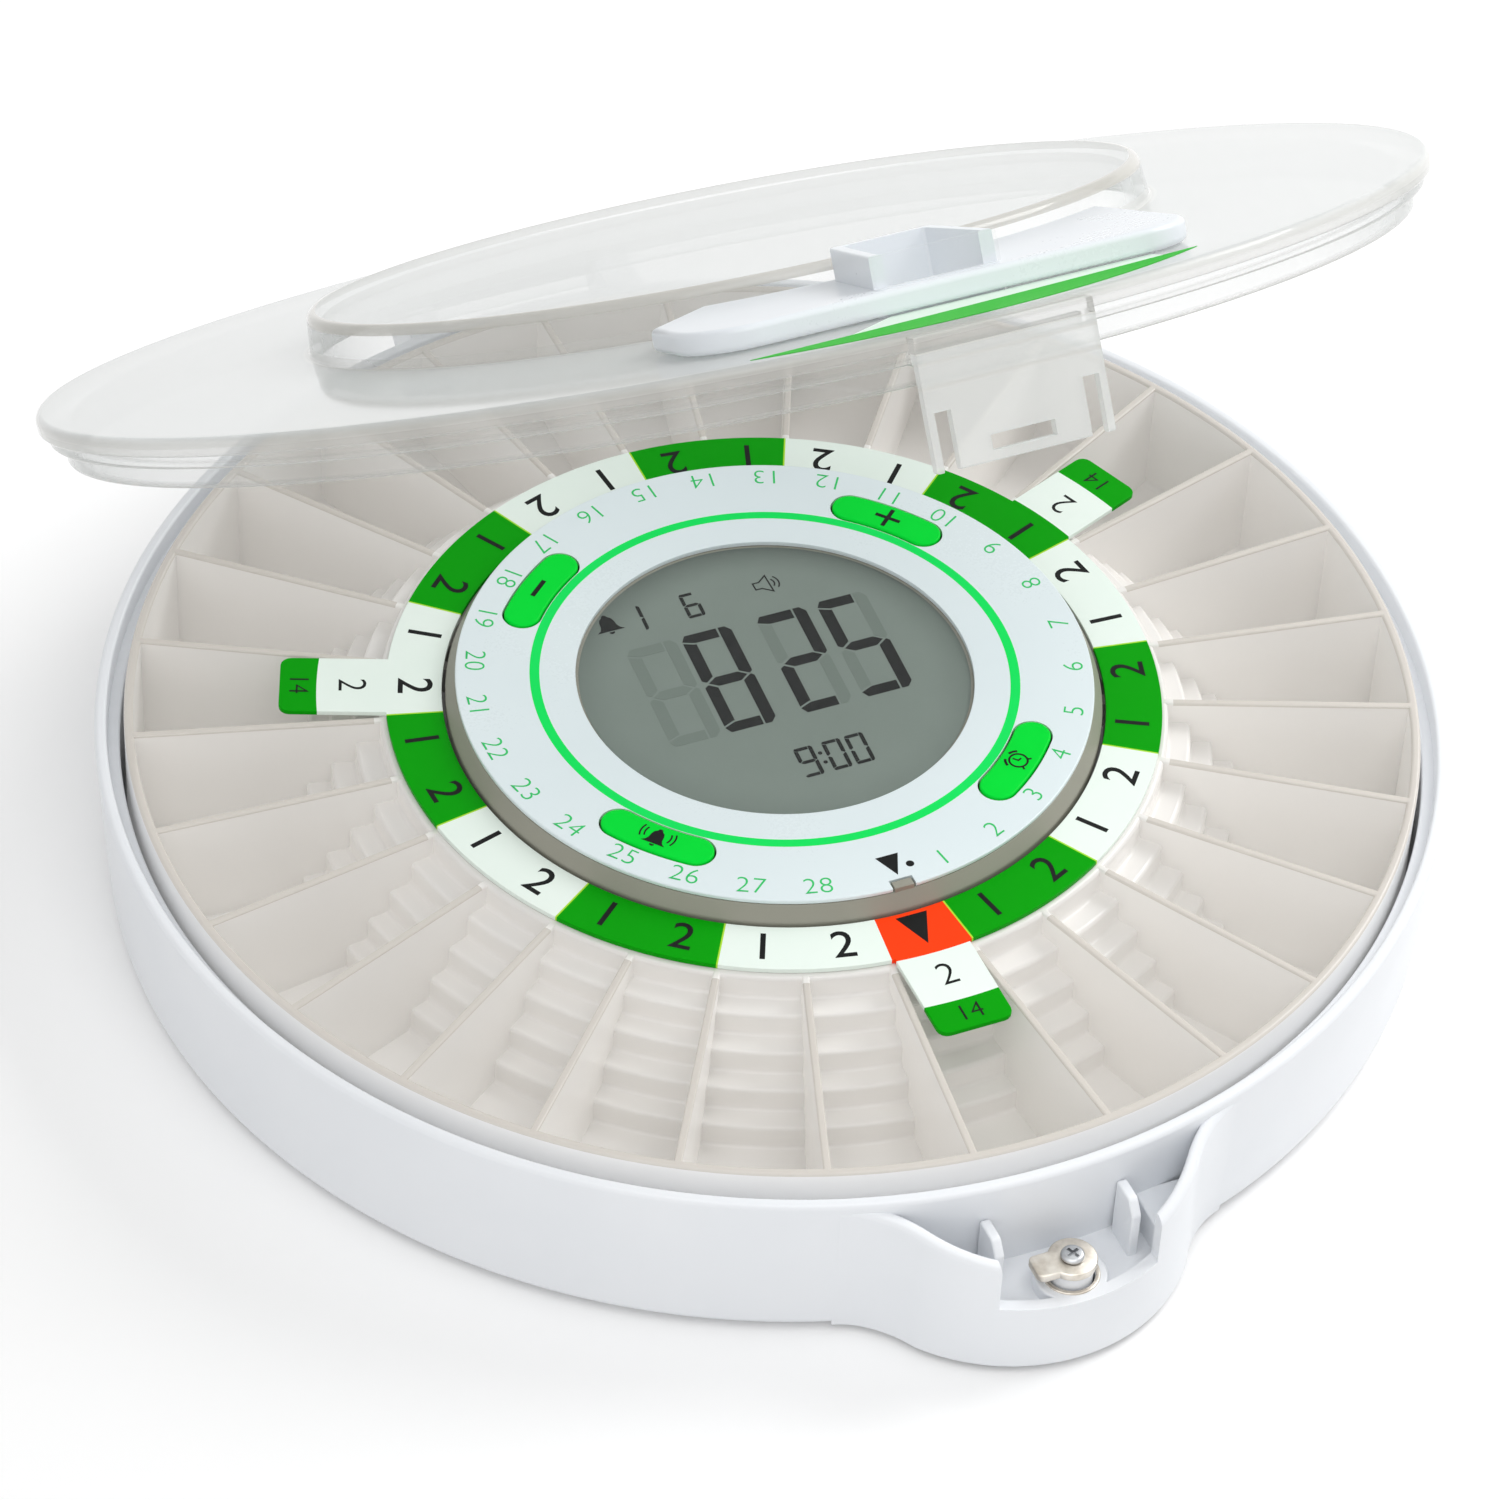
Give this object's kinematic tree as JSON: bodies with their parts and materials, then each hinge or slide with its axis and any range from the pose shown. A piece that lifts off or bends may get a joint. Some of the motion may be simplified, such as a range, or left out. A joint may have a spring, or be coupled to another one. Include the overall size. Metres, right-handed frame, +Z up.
{
  "type": "electronic pill box",
  "caption": "Round automatic pill dispenser: white tub with a turning ring of cells, a central clock dial with keys, a clear hinged lid and a key lock.",
  "frame": {"origin": "on the dial's axis, in the plane that the rubber feet stand on", "axes": "+Z up along the tray's axis, -Y towards the lock lobe, +Y towards the lid's hinge, +X along the hinge pin"},
  "size_m": [0.2006, 0.222, 0.1484],
  "materials": {
    "white_plastic": "smooth moulded white, satin gloss",
    "milky_plastic": "milky translucent moulding",
    "clear_plastic": "polished clear moulding",
    "grey_plastic": "warm grey moulding",
    "printed_white": "white printed foil",
    "printed_green": "green and pale printed foil",
    "green_key": "bright green key caps",
    "display_grey": "grey liquid crystal display",
    "board_green": "green laminate",
    "black_plastic": "matt black moulding",
    "grey_rubber": "matt soft rubber",
    "nickel_plate": "worn bright plating",
    "screw_steel": "turned steel",
    "battery_wrap": "printed steel can"
  },
  "bodies": {
    "base": {"base_shell": "white_plastic", "hinge_pin": "screw_steel", "battery_door": "white_plastic", "battery_door_screw": "screw_steel", "battery_contact_front": "nickel_plate", "battery_contact_rear": "nickel_plate", "control_housing": "grey_plastic", "dial_face": "printed_white", "display_lens": "clear_plastic", "display_module": "display_grey", "circuit_board": "board_green", "gear_motor": "black_plastic", "alarm_buzzer": "black_plastic", "tilt_sensor": "nickel_plate", "tray_position_sensor": "black_plastic", "clock_switch": "black_plastic", "plus_switch": "black_plastic", "minus_switch": "black_plastic", "alarm_switch": "black_plastic", "rubber_foot_1": "grey_rubber", "rubber_foot_2": "grey_rubber", "rubber_foot_3": "grey_rubber", "rubber_foot_4": "grey_rubber", "battery_1": "battery_wrap", "battery_2": "battery_wrap", "battery_3": "battery_wrap", "battery_4": "battery_wrap", "housing_screw_1": "screw_steel", "housing_screw_2": "screw_steel", "housing_screw_3": "screw_steel", "housing_screw_4": "screw_steel"},
    "lid": {"lid_shell": "clear_plastic", "chute_plate": "white_plastic"},
    "tray": {"tray": "milky_plastic", "dosage_ring": "printed_green", "tray_drive_ring": "white_plastic"},
    "pinion": {"drive_pinion": "white_plastic", "motor_shaft": "screw_steel"},
    "lock": {"lock_plug": "white_plastic", "lock_cam": "nickel_plate", "lock_cam_screw": "screw_steel"},
    "clock_key_cap": {"clock_key": "green_key"},
    "plus_key_cap": {"plus_key": "green_key"},
    "minus_key_cap": {"minus_key": "green_key"},
    "alarm_key_cap": {"alarm_key": "green_key"}
  },
  "joints": [
    {"name": "lid_hinge", "type": "hinge", "parent": "base", "child": "lid", "pos_m": [0, 0.1076, 0.0245], "axis": [-1, 0, 0], "range_deg": [-34.4, 60]},
    {"name": "tray_spin", "type": "hinge", "parent": "base", "child": "tray", "pos_m": [0, 0, 0.0085], "axis": [0, 0, 1], "continuous": true},
    {"name": "pinion_spin", "type": "hinge", "parent": "base", "child": "pinion", "pos_m": [0, 0.0414, 0.0135], "axis": [0, 0, 1], "continuous": true},
    {"name": "lock_turn", "type": "hinge", "parent": "base", "child": "lock", "pos_m": [0, -0.1056, 0.0153], "axis": [0, 0, 1], "range_deg": [-90, 0]},
    {"name": "clock_key_press", "type": "slide", "parent": "base", "child": "clock_key_cap", "axis": [0, 0, -1], "range_m": [0, 0.0005], "stiffness_N_per_m": 400, "springref_m": -0.0005},
    {"name": "plus_key_press", "type": "slide", "parent": "base", "child": "plus_key_cap", "axis": [0, 0, -1], "range_m": [0, 0.0005], "stiffness_N_per_m": 400, "springref_m": -0.0005},
    {"name": "minus_key_press", "type": "slide", "parent": "base", "child": "minus_key_cap", "axis": [0, 0, -1], "range_m": [0, 0.0005], "stiffness_N_per_m": 400, "springref_m": -0.0005},
    {"name": "alarm_key_press", "type": "slide", "parent": "base", "child": "alarm_key_cap", "axis": [0, 0, -1], "range_m": [0, 0.0005], "stiffness_N_per_m": 400, "springref_m": -0.0005}
  ],
  "couplings": [
    {"joint": "pinion_spin", "follows": "tray_spin", "ratio": 4.8333}
  ]
}
